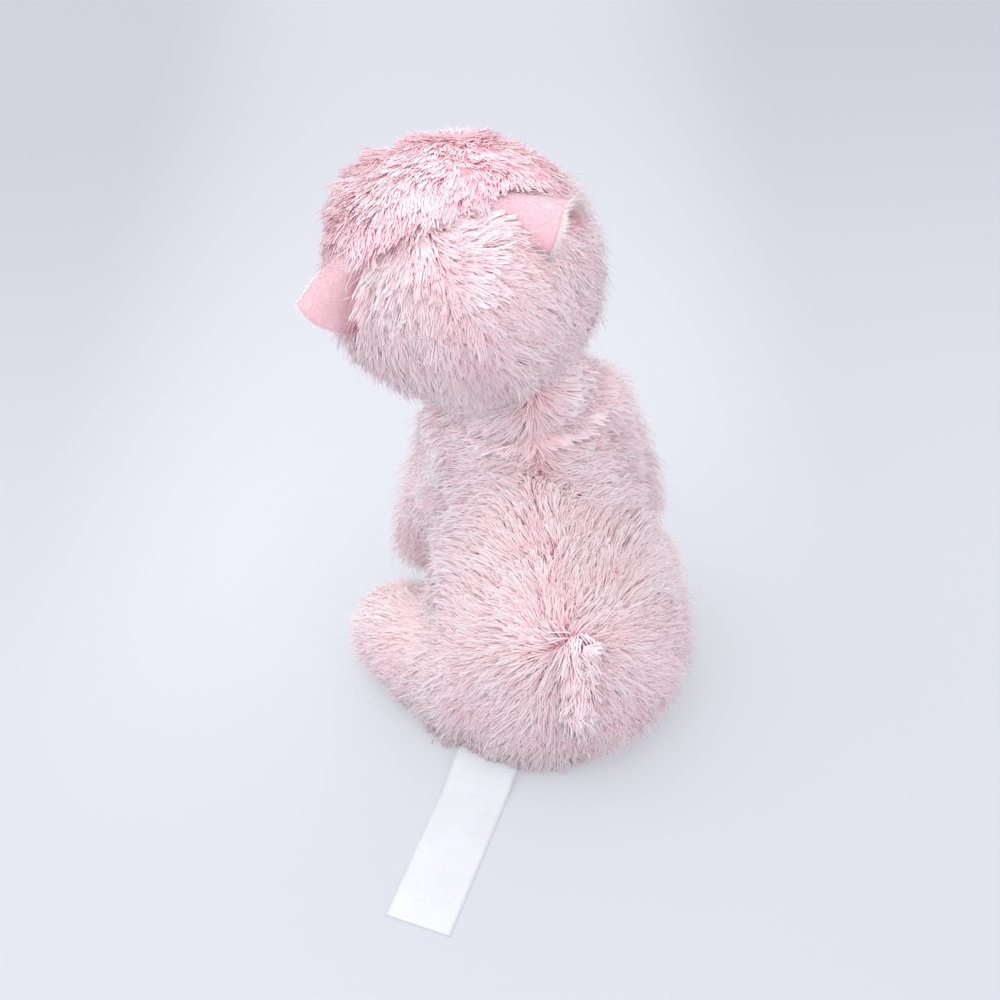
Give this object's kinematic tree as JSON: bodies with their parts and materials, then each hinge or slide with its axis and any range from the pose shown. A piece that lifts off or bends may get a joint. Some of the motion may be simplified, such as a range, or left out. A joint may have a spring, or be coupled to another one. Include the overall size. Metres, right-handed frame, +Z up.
{
  "type": "seated plush llama",
  "caption": "Seated long-pile plush llama leaning to one side, with stuffed head, neck and limbs, curled ears, tail tuft, grain pouch inside and a blank sewn-in care label.",
  "frame": {"origin": "on the floor under the middle of the seat, on the flat base of the torso", "axes": "+Z up; the toy faces -Y and its own left side is +X"},
  "size_m": [0.1769, 0.2391, 0.2652],
  "materials": {
    "pile_fabric": "long pale pink pile, matt",
    "curly_fabric": "curly pink pile, matt",
    "ear_fabric": "short pink pile, matt",
    "ear_lining_fabric": "napped pink fabric, matt",
    "muzzle_fabric": "short pale pile, matt",
    "fibre_filling": "loose white fibre",
    "bag_cloth": "plain undyed cotton",
    "grain": "dry whole grain",
    "eye_button": "polished black",
    "eye_washer_plastic": "moulded white",
    "thread": "stitched thread, slight sheen",
    "label_satin": "white satin, blank"
  },
  "bodies": {
    "torso": {"torso_cover": "pile_fabric", "torso_filling": "fibre_filling", "grain_bag": "bag_cloth", "grain_fill": "grain"},
    "neck_core": {"neck_filling": "fibre_filling"},
    "neck": {"neck_cover": "pile_fabric"},
    "head": {"head_cover": "pile_fabric", "head_filling": "fibre_filling", "topknot": "curly_fabric", "muzzle": "muzzle_fabric", "nose_stitching": "thread", "mouth_stitching": "thread", "eye_left": "eye_button", "eye_right": "eye_button", "eye_washer_left": "eye_washer_plastic", "eye_washer_right": "eye_washer_plastic"},
    "ear_left": {"ear_left_shell": "ear_fabric", "ear_left_lining": "ear_lining_fabric"},
    "ear_right": {"ear_right_shell": "ear_fabric", "ear_right_lining": "ear_lining_fabric"},
    "foreleg_left": {"foreleg_left_cover": "pile_fabric", "foreleg_left_filling": "fibre_filling"},
    "foreleg_right": {"foreleg_right_cover": "pile_fabric", "foreleg_right_filling": "fibre_filling"},
    "hind_leg_left": {"hind_leg_left_cover": "pile_fabric", "hind_leg_left_filling": "fibre_filling"},
    "hind_leg_right": {"hind_leg_right_cover": "pile_fabric", "hind_leg_right_filling": "fibre_filling"},
    "tail": {"tail": "pile_fabric"},
    "care_label": {"care_label": "label_satin"}
  },
  "joints": [
    {"name": "neck_turn", "type": "hinge", "parent": "torso", "child": "neck_core", "pos_m": [0.006, -0.026, 0.15], "axis": [0, 0, 1], "range_deg": [-20, 20], "stiffness_Nm_per_rad": 2},
    {"name": "neck_nod", "type": "hinge", "parent": "neck_core", "child": "neck", "pos_m": [0.006, -0.026, 0.15], "axis": [1, 0, 0], "range_deg": [-10, 10], "stiffness_Nm_per_rad": 2.5},
    {"name": "neck_lean", "type": "hinge", "parent": "neck", "child": "head", "pos_m": [0.006, -0.026, 0.15], "axis": [0, 1, 0], "range_deg": [-12, 12], "stiffness_Nm_per_rad": 2.5},
    {"name": "ear_left_flap", "type": "hinge", "parent": "head", "child": "ear_left", "pos_m": [0.07235, -0.02147, 0.234], "axis": [0.1804, -0.9537, 0.2405], "range_deg": [-3, 30], "stiffness_Nm_per_rad": 0.02},
    {"name": "ear_right_flap", "type": "hinge", "parent": "head", "child": "ear_right", "pos_m": [0.02228, -0.01399, 0.25808], "axis": [0.135, 0.9064, -0.4003], "range_deg": [-3, 30], "stiffness_Nm_per_rad": 0.02},
    {"name": "shoulder_left", "type": "hinge", "parent": "torso", "child": "foreleg_left", "pos_m": [0.031, -0.027, 0.128], "axis": [-1, 0, 0], "range_deg": [-8, 25], "stiffness_Nm_per_rad": 0.4},
    {"name": "shoulder_right", "type": "hinge", "parent": "torso", "child": "foreleg_right", "pos_m": [-0.033, -0.026, 0.133], "axis": [-1, 0, 0], "range_deg": [-8, 25], "stiffness_Nm_per_rad": 0.4},
    {"name": "hip_left", "type": "hinge", "parent": "torso", "child": "hind_leg_left", "pos_m": [0.042, 0.019, 0.025], "axis": [-0.7967, -0.6044, 0], "range_deg": [0, 8], "stiffness_Nm_per_rad": 0.6},
    {"name": "hip_right", "type": "hinge", "parent": "torso", "child": "hind_leg_right", "pos_m": [-0.037, 0.014, 0.025], "axis": [-0.908, 0.4191, 0], "range_deg": [0, 8], "stiffness_Nm_per_rad": 0.6},
    {"name": "tail_swing", "type": "hinge", "parent": "torso", "child": "tail", "pos_m": [0, 0.04988, 0.068], "axis": [1, 0, 0], "range_deg": [-12, 12], "stiffness_Nm_per_rad": 0.01},
    {"name": "label_lift", "type": "hinge", "parent": "torso", "child": "care_label", "pos_m": [0.0376, 0.05119, 0.007], "axis": [0.8304, -0.5572, 0], "range_deg": [0, 40]}
  ]
}
